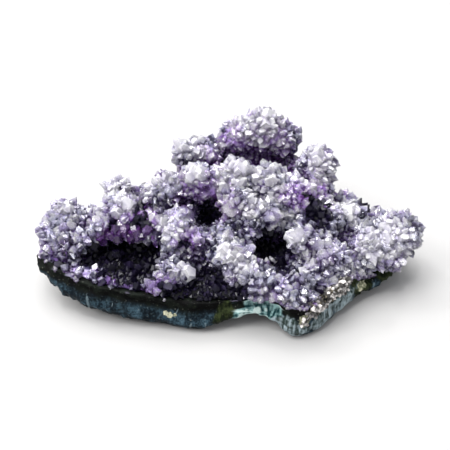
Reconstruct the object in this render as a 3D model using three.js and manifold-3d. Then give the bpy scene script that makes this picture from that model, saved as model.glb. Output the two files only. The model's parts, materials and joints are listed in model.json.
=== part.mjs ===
// An amethyst cluster: a shell of banded agate broken out of a geode, with a druse of amethyst on it.
// Millimetres, +Z up. The origin is under the middle of the cluster, on the surface that it rests on.
import * as THREE from "three";
import { mergeVertices } from "three/addons/utils/BufferGeometryUtils.js";
import { MarchingCubes } from "three/addons/objects/MarchingCubes.js";
import { ImprovedNoise } from "three/addons/math/ImprovedNoise.js";
import Module from "manifold-3d";

const wasm = await Module();
wasm.setup();

// Driving dimensions
const SEAT_GAP = 0.3; // clearance between the agate and the druse on it
const SEAT_MIDDLE = 9; // height of the agate's upper face in the middle
const SEAT_REACH = 26; // distance from the edge at which it comes down to that height
const REST_REACH = 0.42; // share of the way from the edge to the middle where the underside becomes flat
const RIM_STEPS = 2; // columns of the agate's edge for each point of its outline
const SHEET_HEIGHT = 1.8; // thickness of the crystals on the seat where there are no lumps
const SHEET_INSET = 2.4; // how far inside the agate's outline they end, before their tips are raised
const GRAIN = 2.95; // size of the steps in which the druse's surface is followed
const TIP_RISE = 1.5; // height of a crystal's tip over the faces' lower ends
const TIP_HEIGHT = 0.55; // height of a large crystal's tip, as a share of its width
const UNDERCUT = 3; // how far the druse is carried on below its seat, before it is cut to it
const LUMP_DEPTH = 0.9; // how far the surface under the tips lies inside the lumps' half sizes
const BLEND = 1.4; // width over which neighbouring lumps run together

// The agate's outline, seen from above: x, y, the height of its upper edge and that of its lower edge.
const OUTLINE = [
  [-64.5, -19, 18.5, 9.5],
  [-56, -25, 17, 6.5],
  [-46, -29.5, 16, 4],
  [-34, -32.5, 15, 2],
  [-20, -34.5, 13.5, 0.8],
  [-8, -35.5, 12, 0.2],
  [1, -34.5, 12, 3],
  [9, -33.5, 12.5, 5.5],
  [17, -35, 13.5, 2.5],
  [23, -39.3, 14.3, 0.2],
  [31, -36.8, 14.3, 0.3],
  [37, -31, 15, 0.9],
  [42, -26.5, 17, 1.8],
  [47.5, -22, 10, 2.8],
  [56, -17, 8, 3.5],
  [65, -9, 9, 4.5],
  [69, 0, 11, 7],
  [65, 8, 12, 6],
  [56, 15, 12, 4],
  [46, 26, 13, 2.5],
  [35, 37, 15, 3],
  [18, 44, 16, 5],
  [0, 42, 16, 5],
  [-14, 35, 15, 4],
  [-26, 26, 14, 3],
  [-42, 21, 15, 4],
  [-56, 13, 17, 7],
  [-65, 0, 19, 10],
  [-67, -11, 19, 10.5],
];
// The broken edge of the agate, from top to bottom: how far each ledge stands back, and where it is as
// a share of the edge's height.
const EDGE_LEDGES = [
  [1.6, 1],
  [2.6, 0.66],
  [1.2, 0.52],
  [0, 0.24],
  [1.3, 0],
];
const EDGE_CHIPS = 1.6; // depth of the chips in it
// The rings of its upper face and of its underside, as shares of the way from the edge to the middle.
const SEAT_SHARES = [0.86, 0.6, 0.35, 0.15];
const UNDER_SHARES = [0.12, 0.26, REST_REACH];

// Lumps of the druse: name, centre and half sizes.
const LUMPS = [
  ["left_end", [-61, -4, 18], [6.5, 8, 6.5]],
  ["left_end_top", [-59, 4, 19.5], [6.5, 7, 6.5]],
  ["left_saddle", [-49, 3, 16], [7, 8, 6]],
  ["left_cave_side", [-52, -12, 18.5], [6, 6, 5]],
  ["left_crown", [-38, 1, 22.5], [9, 8.5, 7.5]],
  ["left_brow", [-43, -8, 20.5], [7, 6.5, 5]],
  ["rear_left_knob", [-40, 14, 23.5], [5.8, 5.8, 5.6]],
  ["brow_middle", [-30, -5, 22], [7, 6.5, 6]],
  ["shoulder_left", [-21, 6, 28], [8, 7.5, 8.5]],
  ["brow_right", [-23, -7, 23], [5.5, 5.5, 5.5]],
  ["pale_pair", [-16, -8, 27], [5, 5, 5.5]],
  ["column_upper", [-18, -14, 21], [4.5, 5, 6]],
  ["column_lower", [-19, -21, 16], [4.5, 5.5, 5]],
  ["purple_step", [-11, -12, 21], [5.5, 6, 5.5]],
  ["bright_point", [-12, -24, 15.5], [5, 4.5, 4.5]],
  ["low_purple", [-21, -28, 14], [5.5, 4.5, 3.5]],
  ["mass_left", [-9, 8, 30.5], [8, 8, 8.5]],
  ["mass_middle", [4, 11, 30.5], [8.5, 8, 8.5]],
  ["mass_right", [16, 9, 30.5], [7.5, 7.5, 8]],
  ["pale_lobe", [4, 1, 27.5], [7.5, 6.5, 6]],
  ["pale_lobe_tip", [14, -3, 25.5], [6, 5.5, 5.5]],
  ["left_of_middle", [-1, -10, 22], [6, 6, 5.5]],
  ["middle_step", [8, -7, 20], [7, 7, 6]],
  ["front_lobe", [2, -19, 18], [8.5, 7.5, 6.5]],
  ["front_low", [9, -27.5, 14.5], [8.5, 6, 5.5]],
  ["front_low_left", [-4, -29, 11.5], [6, 4.5, 3.5]],
  ["front_low_right", [22, -29.5, 14.5], [7.5, 7, 5.5]],
  ["right_lobe", [26, -13, 21.5], [7.5, 6.5, 6]],
  ["right_lobe_outer", [36, -17, 18], [7.5, 7.5, 6.5]],
  ["right_under", [30, -23.5, 15], [5.5, 5.5, 4.5]],
  ["right_dark", [34, -3, 22.5], [8.5, 8.5, 7.5]],
  ["right_ridge", [45, 2, 18.5], [7, 8, 6]],
  ["saddle_right", [25, 4, 27], [8, 8.5, 8.5]],
  ["shoulder_right", [34.5, 17, 32.5], [7.5, 8, 8.5]],
  ["shoulder_edge", [35, 10, 25], [5.5, 8, 7]],
  ["wing_tip", [63, -4, 17.5], [8.5, 9, 8]],
  ["wing_middle", [51, -8, 16], [8.5, 9, 6.5]],
  ["wing_low", [57, -12, 12.5], [8, 6, 5]],
  ["peak", [14, 35, 37.5], [10.5, 8.5, 9.5]],
  ["peak_left", [4, 33.5, 35], [7, 7, 7]],
  ["peak_right", [23.5, 33.5, 34.5], [7, 7, 7.5]],
  ["peak_foot", [13, 38, 22], [16, 7, 14]],
  ["rear_lobe_left", [-15, 27, 32], [6, 6, 6]],
  ["rear_lobe_middle", [-7, 29.5, 32], [6, 6, 6]],
  ["rear_lobe_foot", [-10, 29, 22], [9, 7, 10]],
  ["back_left", [-29, 15, 15.5], [13, 9, 6]],
  ["back_left_end", [-53, 7, 14.5], [9, 6, 5]],
  ["back_right", [45, 13, 15], [10, 9, 6]],
  ["back_right_high", [32, 27, 21], [9.5, 9, 9]],
  ["back_right_end", [58, 5, 14], [8, 8, 6]],
];
// The quartz under the lumps: centre and half sizes of the masses that fill what lies between them.
const BED = [
  [[-44, 2, 12], [22, 15, 6]],
  [[-16, 8, 14], [24, 26, 9]],
  [[12, 8, 14], [30, 32, 9.5]],
  [[44, -2, 11], [22, 15, 7]],
  [[14, -26, 11], [20, 9, 4]],
];
// Single large crystals: name, where the tip ends, which way it points, and its width.
const LARGE_CRYSTALS = [
  ["brow", [-24, -9.5, 23.5], [-0.3, -0.6, 0.7], 6],
  ["pale_pair_left", [-17, -10, 29.5], [-0.5, -0.6, 0.7], 6.5],
  ["pale_pair_right", [-12.5, -8.5, 30.5], [0.4, -0.5, 0.8], 6],
  ["brightest", [-13, -26, 19.5], [0, -0.7, 0.75], 6.5],
  ["leaf", [-0.5, -5, 29], [-0.6, -0.5, 0.6], 5.5],
  ["lobe_tip", [20, -7, 27.5], [0.75, -0.5, 0.3], 7],
  ["right_lobe", [23.5, -15.5, 27.5], [-0.35, -0.3, 0.9], 6],
  ["right_lobe_side", [31, -19.5, 19], [0.3, -0.8, 0.5], 5],
  ["wing", [57, -9, 21.5], [-0.1, -0.5, 0.85], 6],
  ["wing_top", [64, -4, 26.5], [0.15, 0, 1], 5.5],
  ["rear_lobe", [-4.5, 23.5, 32.5], [0.2, -0.8, 0.5], 6],
  ["rear_lobe_left", [-17.5, 25.5, 38.5], [-0.3, -0.2, 0.9], 5.5],
  ["crest_left", [-11, 4.5, 40.5], [-0.2, -0.3, 0.9], 6.5],
  ["crest_middle", [5, 7.5, 40], [0.1, -0.2, 1], 5.5],
  ["peak_top", [16.5, 33, 47.5], [0.1, -0.1, 1], 6],
  ["shoulder", [34, 14.5, 41.5], [0.1, -0.3, 0.95], 6],
  ["ridge", [45.5, 1, 25.5], [0.2, -0.1, 1], 6.5],
  ["left_end", [-57, -8, 24], [0, -0.4, 0.9], 5.5],
  ["left_crown", [-35, -1, 31], [0.1, -0.2, 1], 5.5],
  ["front_lobe", [-1, -21.5, 25], [-0.1, -0.5, 0.85], 5.5],
  ["front_low", [12, -32, 19.5], [0.1, -0.6, 0.8], 5],
];
// Hollows between the lumps: centre and half sizes.
const HOLLOWS = [
  [[-34.5, -14.5, 16], [14, 9.5, 5.8]],
  [[-32.5, -6, 16], [12.5, 10, 5.4]],
  [[-8, -22, 15], [3.4, 5, 3.6]],
  [[-6, -6, 26.5], [4.2, 4.6, 4.6]],
  [[-6.5, 1, 21.5], [4.6, 6.4, 4.8]],
  [[14.5, -14.5, 18.5], [6, 5.6, 6]],
  [[20.5, -17, 15], [5, 5, 4.6]],
  [[16, -8, 14.5], [7, 7, 4.6]],
  [[21, -9.5, 21.5], [2.8, 5, 5]],
  [[10, 23.5, 32], [15, 5.4, 8]],
];

// A repeatable sequence of numbers from 0 to 1, by the minimal standard generator.
let state = 7;
function random() {
  state = (state * 16807) % 2147483647;
  return state / 2147483647;
}
const spread = (amount) => (random() * 2 - 1) * amount;

const noise = new ImprovedNoise();
const chipAt = ({ x, y, z }, size, seed) => noise.noise(x / size + seed, y / size - seed, z / size);

// A closed geometry as a solid that can be joined and cut.
function solidOf(geometry) {
  const bare = geometry.index ? geometry.toNonIndexed() : geometry.clone();
  bare.deleteAttribute("normal");
  bare.deleteAttribute("uv");
  const merged = mergeVertices(bare, 1e-4);
  return new wasm.Manifold(
    new wasm.Mesh({
      numProp: 3,
      vertProperties: merged.attributes.position.array,
      triVerts: new Uint32Array(merged.index.array),
    }),
  );
}

// A solid as a geometry. A sealed bubble inside it is left out.
function geometryOf(solid) {
  const whole = solid.decompose().sort((a, b) => b.volume() - a.volume())[0];
  const mesh = whole.getMesh();
  const geometry = new THREE.BufferGeometry();
  geometry.setAttribute("position", new THREE.BufferAttribute(mesh.vertProperties, 3));
  geometry.setIndex(new THREE.BufferAttribute(mesh.triVerts, 1));
  geometry.computeVertexNormals();
  return geometry;
}

// The outline as smooth closed curves: one for its plan and one for its two heights.
const closed = (points) => new THREE.CatmullRomCurve3(points, true, "centripetal");
const plan = closed(OUTLINE.map(([x, y]) => new THREE.Vector3(x, y, 0)));
const heights = closed(OUTLINE.map(([, , top, bottom], i) => new THREE.Vector3(i * 8, top, bottom)));
const COLUMNS = OUTLINE.length * RIM_STEPS;
const RIM = Array.from({ length: COLUMNS }, (_, column) => {
  const at = heights.getPoint(column / COLUMNS);
  return { point: plan.getPoint(column / COLUMNS), top: at.y, bottom: Math.max(at.z, 0) };
});
const SPINE = new THREE.Line3(new THREE.Vector3(-34, -3, 0), new THREE.Vector3(38, 4, 0));
const MIDDLE = SPINE.getCenter(new THREE.Vector3());

// A point of the outline moved inwards: first by a distance, then by a share of the rest of the way.
function rimPoint(column, inset, share = 0) {
  const { point } = RIM[column % COLUMNS];
  const inner = SPINE.closestPointToPoint(point, true, new THREE.Vector3());
  const inward = inner.clone().sub(point).normalize();
  return point.clone().addScaledVector(inward, inset).lerp(inner, share);
}

// How far inside the outline a point lies, seen from above; less than zero outside.
function distanceInside(point) {
  let nearest = Infinity;
  let crossings = 0;
  for (let i = 0; i < COLUMNS; i += 1) {
    const a = RIM[i].point;
    const b = RIM[(i + 1) % COLUMNS].point;
    const [dx, dy] = [b.x - a.x, b.y - a.y];
    const along = ((point.x - a.x) * dx + (point.y - a.y) * dy) / (dx * dx + dy * dy);
    const t = THREE.MathUtils.clamp(along, 0, 1);
    nearest = Math.min(nearest, Math.hypot(point.x - a.x - t * dx, point.y - a.y - t * dy));
    const straddles = a.y > point.y !== b.y > point.y;
    if (straddles && point.x < a.x + ((point.y - a.y) * dx) / dy) crossings += 1;
  }
  return crossings % 2 ? nearest : -nearest;
}

// Height of the agate's upper face, which the druse sits on.
function seatHeight(point) {
  let sum = 0;
  let weights = 0;
  for (const { point: rim, top } of RIM) {
    const weight = 1 / ((point.x - rim.x) ** 2 + (point.y - rim.y) ** 2 + 1) ** 2;
    sum += weight * top;
    weights += weight;
  }
  const inwards = THREE.MathUtils.smoothstep(distanceInside(point), -SEAT_REACH / 3, SEAT_REACH);
  return THREE.MathUtils.lerp(sum / weights, SEAT_MIDDLE, inwards);
}

// Closes a stack of rings of points, each with COLUMNS points, between two middle points.
function closeRings(rings, firstMiddle, lastMiddle) {
  const points = [firstMiddle, ...rings.flat(), lastMiddle];
  const faces = [];
  const index = (ring, column) => 1 + ring * COLUMNS + (column % COLUMNS);
  for (let column = 0; column < COLUMNS; column += 1) {
    faces.push(0, index(0, column), index(0, column + 1));
    for (let ring = 0; ring < rings.length - 1; ring += 1) {
      const [a, b] = [index(ring, column), index(ring, column + 1)];
      const [c, d] = [index(ring + 1, column), index(ring + 1, column + 1)];
      faces.push(a, c, b, b, c, d);
    }
    faces.push(points.length - 1, index(rings.length - 1, column + 1), index(rings.length - 1, column));
  }
  const geometry = new THREE.BufferGeometry().setFromPoints(points);
  geometry.setIndex(faces);
  return geometry;
}

const ringOf = (pointAt) => Array.from({ length: COLUMNS }, (_, column) => pointAt(column));

// A ring of the agate's upper face, a share of the way from its edge to its middle.
function seatRing(share, lift = 0) {
  return ringOf((column) => {
    const point = rimPoint(column, EDGE_LEDGES[0][0], share);
    return point.setZ(seatHeight(point) + lift);
  });
}

// A ring of the underside, which is curved near the edge and lies flat further in.
function undersideRing(share) {
  return ringOf((column) => {
    const point = rimPoint(column, EDGE_LEDGES.at(-1)[0], share);
    const rise = RIM[column].bottom * Math.max(0, 1 - share / REST_REACH) ** 1.6;
    return point.setZ(rise + Math.min(0.5 * Math.abs(chipAt(point, 6, 5.2)), rise));
  });
}

// One ledge of the broken edge, chipped as split rock is.
function edgeRing([inset, share], row) {
  return ringOf((column) => {
    const { point: corner, top, bottom } = RIM[column];
    const point = rimPoint(column, inset).setZ(THREE.MathUtils.lerp(bottom, top, share));
    const outward = corner.clone().sub(MIDDLE).normalize();
    return point.addScaledVector(outward, EDGE_CHIPS * chipAt(point, 4.5, row));
  });
}

function makeAgate() {
  const upper = [...SEAT_SHARES, 0].map((share) => seatRing(share));
  const edge = EDGE_LEDGES.slice(1).map(edgeRing);
  const under = UNDER_SHARES.map(undersideRing);
  const top = MIDDLE.clone().setZ(seatHeight(MIDDLE));
  return closeRings([...upper, ...edge, ...under], top, MIDDLE);
}

// Everything below the druse's seat and past the agate's edge, for cutting the druse to sit on the agate.
const BRIM_WIDTH = 14; // how far it goes on past the edge
const BRIM_DROP = 1; // how far it comes down over that width
const CUTTER_DEPTH = 40;
function makeSeatCutter() {
  const upper = [...SEAT_SHARES, 0].map((share) => seatRing(share, SEAT_GAP));
  const brim = (drop) =>
    ringOf((column) => rimPoint(column, -BRIM_WIDTH).setZ(RIM[column].top + SEAT_GAP - drop));
  const top = MIDDLE.clone().setZ(seatHeight(MIDDLE) + SEAT_GAP);
  const bottom = MIDDLE.clone().setZ(-CUTTER_DEPTH);
  return closeRings([...upper, brim(BRIM_DROP), brim(CUTTER_DEPTH)], top, bottom);
}

// A six-sided crystal along +Z with its tip at the origin, and the tip a little off the axis.
function makeCrystal(width) {
  const radius = width / 2;
  const shoulder = -width * TIP_HEIGHT;
  const profile = [
    [0, shoulder - width],
    [radius * 0.85, shoulder - width],
    [radius, shoulder],
    [0, 0],
  ].map(([r, h]) => new THREE.Vector2(r, h));
  const crystal = new THREE.LatheGeometry(profile, 6);
  const [leanX, leanZ] = [spread(0.3) * radius, spread(0.3) * radius];
  const position = crystal.attributes.position;
  for (let i = 0; i < position.count; i += 1)
    if (position.getY(i) > -1e-6) position.setXYZ(i, leanX, 0, leanZ);
  return crystal.rotateY(random() * Math.PI).rotateX(Math.PI / 2);
}

// The same crystal with its tip at a point and its axis along a direction.
function placeCrystal([, tip, direction, width]) {
  const axis = new THREE.Vector3(...direction).normalize();
  const turn = new THREE.Quaternion().setFromUnitVectors(new THREE.Vector3(0, 0, 1), axis);
  return makeCrystal(width).applyQuaternion(turn).translate(...tip);
}

// Distance from a point to an ellipsoid, less than zero inside it.
function distanceTo([x, y, z], [a, b, c], point) {
  const [p, q, r] = [(point.x - x) / a, (point.y - y) / b, (point.z - z) / c];
  const stretch = Math.hypot(p, q, r);
  return (stretch * (stretch - 1)) / Math.max(Math.hypot(p / a, q / b, r / c), 1e-6);
}

// The smaller of two distances, rounded off where they are alike.
function blended(one, other) {
  const near = Math.max(BLEND - Math.abs(one - other), 0) / BLEND;
  return Math.min(one, other) - (near * near * BLEND) / 4;
}

// Distance from a point to the surface under the crystal tips, less than zero inside the druse.
function druseDistance(point) {
  const seat = seatHeight(point);
  const buried = seat - UNDERCUT - point.z;
  const sheet = Math.max(point.z - seat - SHEET_HEIGHT, buried, SHEET_INSET - distanceInside(point));
  let masses = Infinity;
  for (const [, centre, sizes] of LUMPS)
    masses = blended(masses, distanceTo(centre, sizes, point) + LUMP_DEPTH);
  for (const [centre, sizes] of BED) masses = blended(masses, distanceTo(centre, sizes, point));
  let hollows = Infinity;
  for (const [centre, sizes] of HOLLOWS)
    hollows = Math.min(hollows, distanceTo(centre, sizes, point));
  return blended(sheet, Math.max(masses, -hollows, buried));
}

// The room that the druse lies in, and the cubes that it is followed through. Their number is a power of
// two, so that neighbouring cubes place the corners that they share exactly alike.
const ROOM = new THREE.Box3(new THREE.Vector3(-76, -52, 0), new THREE.Vector3(76, 52, 56));
const CUBES = 64;
const FAR = 9; // distance that is taken for points outside the room
const MOST_TRIANGLES = 40000;
const SLOPE_STEP = 0.4; // step over which the surface's slope is taken
const EVENING_ROUNDS = 6; // rounds in which its corners are spaced evenly

// The surface where the druse's distance is nothing, as triangles about as wide as its grain.
function followSurface() {
  const reach = (GRAIN * CUBES) / 2;
  const cubes = new MarchingCubes(CUBES, new THREE.MeshBasicMaterial(), false, false, MOST_TRIANGLES);
  const point = new THREE.Vector3();
  for (let i = 0; i < cubes.field.length; i += 1) {
    point.set(i % CUBES, Math.floor(i / CUBES) % CUBES, Math.floor(i / CUBES ** 2));
    point.subScalar(CUBES / 2).multiplyScalar(GRAIN);
    cubes.field[i] = ROOM.containsPoint(point) ? -druseDistance(point) : -FAR;
  }
  cubes.isolation = 0;
  cubes.update();
  const surface = new THREE.BufferGeometry();
  const positions = cubes.positionArray.slice(0, 3 * cubes.count);
  surface.setAttribute("position", new THREE.BufferAttribute(positions, 3));
  return mergeVertices(surface, 1e-6).scale(reach, reach, reach);
}

// The corners that each corner of a surface shares an edge with.
function neighboursOf(surface) {
  const neighbours = Array.from({ length: surface.attributes.position.count }, () => new Set());
  const index = surface.index.array;
  for (let i = 0; i < index.length; i += 3)
    for (const [from, to] of [[0, 1], [1, 2], [2, 0]]) {
      neighbours[index[i + from]].add(index[i + to]);
      neighbours[index[i + to]].add(index[i + from]);
    }
  return neighbours.map((set) => [...set]);
}

const middleOf = (points) =>
  points.reduce((sum, point) => sum.add(point), new THREE.Vector3()).divideScalar(points.length);

// Which way the druse's surface faces at a point.
function facing(point) {
  const slope = ["x", "y", "z"].map((axis) => {
    const [ahead, behind] = [point.clone(), point.clone()];
    ahead[axis] += SLOPE_STEP;
    behind[axis] -= SLOPE_STEP;
    return druseDistance(ahead) - druseDistance(behind);
  });
  return new THREE.Vector3(...slope).normalize();
}

// Spaces the corners of the surface evenly, and makes about one in three the tip of a crystal. No two
// tips are neighbours, and the corners that stand out most come first.
function raiseTips(surface) {
  const neighbours = neighboursOf(surface);
  const position = surface.attributes.position;
  let corners = neighbours.map((_, i) => new THREE.Vector3().fromBufferAttribute(position, i));
  for (let round = 0; round < EVENING_ROUNDS; round += 1) {
    corners = corners.map((_, i) => middleOf(neighbours[i].map((k) => corners[k])));
    for (const corner of corners) corner.addScaledVector(facing(corner), -druseDistance(corner));
  }
  const outward = corners.map(facing);
  const bulge = corners.map((corner, i) =>
    corner.clone().sub(middleOf(neighbours[i].map((k) => corners[k]))).dot(outward[i]),
  );
  const isTip = new Array(corners.length).fill(false);
  const order = corners.map((_, i) => i).sort((a, b) => bulge[b] - bulge[a]);
  for (const i of order) isTip[i] = !neighbours[i].some((k) => isTip[k]);
  corners.forEach((corner, i) => {
    const lean = new THREE.Vector3(spread(0.35), spread(0.35), spread(0.35));
    if (isTip[i]) corner.addScaledVector(outward[i].add(lean), TIP_RISE * (1 + spread(0.35)));
    position.setXYZ(i, ...corner);
  });
  return surface;
}

// Joins closed geometries in pairs, then the pairs in pairs, until one solid is left.
function joined(geometries) {
  let solids = geometries.map(solidOf);
  while (solids.length > 1)
    solids = solids
      .filter((_, i) => i % 2 === 0)
      .map((solid, i) => (2 * i + 1 < solids.length ? solid.add(solids[2 * i + 1]) : solid));
  return solids[0];
}

function makeDruse() {
  const crust = solidOf(raiseTips(followSurface()));
  const whole = crust.add(joined(LARGE_CRYSTALS.map(placeCrystal)));
  return geometryOf(whole.subtract(solidOf(makeSeatCutter())));
}

const agateFinish = new THREE.MeshStandardMaterial({ color: 0x4a6a70, roughness: 0.55, metalness: 0 });
const amethystFinish = new THREE.MeshStandardMaterial({
  color: 0xa99ac4,
  roughness: 0.15,
  metalness: 0,
  flatShading: true,
});

function named(name, geometry, material) {
  const mesh = new THREE.Mesh(geometry, material);
  mesh.name = name;
  return mesh;
}

const cluster = new THREE.Group();
cluster.add(named("agate_rind", makeAgate(), agateFinish));
cluster.add(named("amethyst_druse", makeDruse(), amethystFinish));

// The origin goes under the middle of the whole cluster.
const whole = new THREE.Box3().setFromObject(cluster);
const middle = whole.getCenter(new THREE.Vector3()).setZ(whole.min.z);
for (const mesh of cluster.children) mesh.geometry.translate(-middle.x, -middle.y, -middle.z);

export default cluster;
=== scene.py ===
# %% [markdown]
# An amethyst cluster is broken out of the wall of a geode. It has two parts, one grown on the other: a
# shell of banded agate, and on its inner face a crust of quartz that ends in violet crystals. This lesson
# dresses both. It starts from the solids of the CAD model, which fix every place and size.

import json
import math

import bpy
import numpy as np
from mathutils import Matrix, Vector, noise
from mathutils.bvhtree import BVHTree

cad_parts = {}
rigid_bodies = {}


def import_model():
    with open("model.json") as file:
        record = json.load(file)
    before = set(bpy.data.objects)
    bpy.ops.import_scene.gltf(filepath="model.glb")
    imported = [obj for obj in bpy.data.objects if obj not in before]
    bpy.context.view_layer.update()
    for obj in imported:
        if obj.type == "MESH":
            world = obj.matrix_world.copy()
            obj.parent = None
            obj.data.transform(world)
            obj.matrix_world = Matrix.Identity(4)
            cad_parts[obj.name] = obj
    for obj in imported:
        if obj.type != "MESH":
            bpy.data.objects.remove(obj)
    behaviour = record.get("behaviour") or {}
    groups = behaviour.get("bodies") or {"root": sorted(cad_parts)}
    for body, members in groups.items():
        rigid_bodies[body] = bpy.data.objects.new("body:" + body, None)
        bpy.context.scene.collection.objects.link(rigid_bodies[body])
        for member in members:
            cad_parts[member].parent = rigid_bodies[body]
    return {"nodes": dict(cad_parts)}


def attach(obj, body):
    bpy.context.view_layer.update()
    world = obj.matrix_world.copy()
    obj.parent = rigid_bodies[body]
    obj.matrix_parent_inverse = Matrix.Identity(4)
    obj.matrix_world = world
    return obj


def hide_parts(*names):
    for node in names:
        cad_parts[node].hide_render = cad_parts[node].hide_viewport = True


MM = 0.001
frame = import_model()
scene = bpy.context.scene
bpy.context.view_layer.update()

# %% [markdown]
# The camera stands where the photo was taken from, a little over 20 cm from the cluster, and looks down by
# 38 degrees. It could be moved about until the picture looks right. It is surer to state the angle and the
# distance, and to step back by them from the point that it looks at.

# %% Camera
LOOK_DOWN = math.radians(38.4)
LOOKED_AT = Vector((-1.7, -3, 18)) * MM
CAMERA_DISTANCE = 0.22
LENS = 48
NEAREST_SEEN = 0.01

away = Vector((0, math.cos(LOOK_DOWN), -math.sin(LOOK_DOWN)))
bpy.ops.object.camera_add(
    location=LOOKED_AT - away * CAMERA_DISTANCE,
    rotation=(math.radians(90) - LOOK_DOWN, 0, 0),
)
scene.camera = bpy.context.object
scene.camera.data.lens = LENS
scene.camera.data.clip_start = NEAREST_SEEN
print("the camera stands", round(scene.camera.location.z / MM), "mm above the floor")

# %% [markdown]
# A finish is a net of nodes, which are added by hand in the editor or in code. A long sum is hard to read
# as a chain of nodes, so one small class stands for a node's output: plus, minus and times on it add nodes.


# %% A wire between nodes
def plug(value, socket):
    """Leads a wire into a socket, or writes a value there."""
    if isinstance(value, Wire):
        value.tree.links.new(value.socket, socket)
    else:
        socket.default_value = value


class Wire:
    """The output of a node. Sums on it add Math nodes, and `node` adds any other kind."""

    def __init__(self, tree, socket=None):
        self.tree = tree
        self.socket = socket

    def node(self, kind, inputs=None, output=0, **settings):
        """Adds a node. Its settings come first, because they decide which sockets it has."""
        made = self.tree.nodes.new(kind)
        for name, value in settings.items():
            setattr(made, name, value)
        for name, value in (inputs or {}).items():
            plug(value, made.inputs[name])
        return Wire(self.tree, made.outputs[output] if made.outputs else None)

    def math(self, operation, first, second):
        return self.node("ShaderNodeMath", {0: first, 1: second}, operation=operation)

    def __add__(self, other):
        return self.math("ADD", self, other)

    def __sub__(self, other):
        return self.math("SUBTRACT", self, other)

    def __rsub__(self, other):
        return self.math("SUBTRACT", other, self)

    def __mul__(self, other):
        return self.math("MULTIPLY", self, other)

    # A number may also come first. For plus and times the order makes no difference.
    __radd__ = __add__
    __rmul__ = __mul__

    def between(self, low, high):
        """A smooth step from 0 at the first value to 1 at the second, which may be the smaller one."""
        inputs = {"Value": self, "From Min": low, "From Max": high}
        return self.node("ShaderNodeMapRange", inputs, interpolation_type="SMOOTHSTEP")

    def mix(self, low, high):
        """The low colour where this is 0, the high one where it is 1. Like-named sockets go by place."""
        low, high = (c if isinstance(c, Wire) else (*c, 1) for c in (low, high))
        return self.node("ShaderNodeMix", {0: self, 6: low, 7: high}, 2, data_type="RGBA")


# %% Starting and ending a material
def new_material(name):
    """A material with one Principled shader, and a wire to start its nodes from."""
    material = bpy.data.materials.new(name)
    material.use_nodes = True
    return material, Wire(material.node_tree)


def finish_with(material, inputs):
    """Sets the sockets of the material's shader, each to a value, a colour or a wire."""
    shader = material.node_tree.nodes["Principled BSDF"]
    for name, value in inputs.items():
        plug((*value, 1) if isinstance(value, tuple) else value, shader.inputs[name])
    print(material.name, "has", len(material.node_tree.nodes), "nodes")


# %% [markdown]
# The floor only catches the shadow, so a wide plain sheet without gloss is enough. It belongs to the stage.

# %% Floor
FLOOR_WIDTH = 8
bpy.ops.mesh.primitive_plane_add(size=FLOOR_WIDTH)
floor = bpy.context.object
floor.name = "floor"
paper, _ = new_material("plain_pale_floor")
finish_with(paper, {"Base Color": (0.33, 0.325, 0.32), "Roughness": 0.9, "Specular IOR Level": 0.2})
floor.data.materials.append(paper)

# %% [markdown]
# Quartz shows its facets by what they mirror. Under one even light they would look alike, and under one
# small lamp most would stay black. So a large soft lamp above, like a window, draws the tops of the lumps,
# a smaller one fills from the left, and three small bright ones make the sparks.

# %% Lamps
# Each lamp: its name, where it hangs, its width and its power in watts.
LAMPS = [
    ("window_above", (-0.25, 0.34, 0.93), 1.05, 25),
    ("soft_lamp_left", (-0.55, -0.20, 0.60), 0.35, 5),
    ("spark_lamp_left", (-0.45, 0.35, 0.65), 0.06, 1.3),
    ("spark_lamp_right", (0.30, 0.55, 0.60), 0.06, 1.0),
    ("spark_lamp_top", (-0.05, -0.10, 0.85), 0.06, 1.3),
]
LAMPS_AIM_AT = Vector((0, 0, 0.02))
ROOM_LIGHT = (0.93, 0.95, 1, 1)
ROOM_STRENGTH = 0.9

for name, place, width, power in LAMPS:
    bpy.ops.object.light_add(type="AREA", location=place)
    lamp = bpy.context.object
    lamp.name = name
    lamp.data.size = width
    lamp.data.energy = power
    lamp.rotation_euler = (LAMPS_AIM_AT - Vector(place)).to_track_quat("-Z", "Y").to_euler()

studio = bpy.data.worlds.new("studio")
studio.use_nodes = True
studio.node_tree.nodes["Background"].inputs["Color"].default_value = ROOM_LIGHT
studio.node_tree.nodes["Background"].inputs["Strength"].default_value = ROOM_STRENGTH
scene.world = studio
scene.view_settings.view_transform = "Standard"
print(len(LAMPS), "lamps hang over the cluster")

# %% [markdown]
# The agate shell was split out of rock, so its edge has fine steps and chips. The CAD solid has large flat
# faces there. A copy of it could be subdivided, but then its long thin faces stay long and thin. Remeshing
# it gives even small ones, which modifiers can roughen.


# %% A copy of a solid
MERGE_WITHIN = 0.001 * MM


def select_only(piece):
    """Operators act on all that is selected, so everything else is deselected first."""
    bpy.ops.object.select_all(action="DESELECT")
    piece.select_set(True)
    bpy.context.view_layer.objects.active = piece


def duplicate(piece, name):
    select_only(piece)
    bpy.ops.object.duplicate()
    bpy.context.object.name = name
    return bpy.context.object


def copy_of(node, name):
    """A merged copy of a CAD node's mesh. The node itself is left as it is."""
    piece = duplicate(frame["nodes"][node], name)
    piece.parent = None
    for key in list(piece.keys()):
        del piece[key]
    piece.data.materials.clear()
    select_only(piece)
    bpy.ops.object.mode_set(mode="EDIT")
    bpy.ops.mesh.select_all(action="SELECT")
    bpy.ops.mesh.remove_doubles(threshold=MERGE_WITHIN)
    bpy.ops.object.mode_set(mode="OBJECT")
    return piece


# %% Applied modifiers
def add_modifier(piece, kind, **settings):
    """Adds a modifier and applies it at once, so that its result is the piece's own mesh."""
    select_only(piece)
    bpy.ops.object.modifier_add(type=kind)
    modifier = piece.modifiers[-1]
    for name, value in settings.items():
        setattr(modifier, name, value)
    bpy.ops.object.modifier_apply(modifier=modifier.name)


def report(piece):
    triangles = sum(len(face.vertices) - 2 for face in piece.data.polygons)
    print(piece.name, "has", triangles, "triangles")


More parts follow.
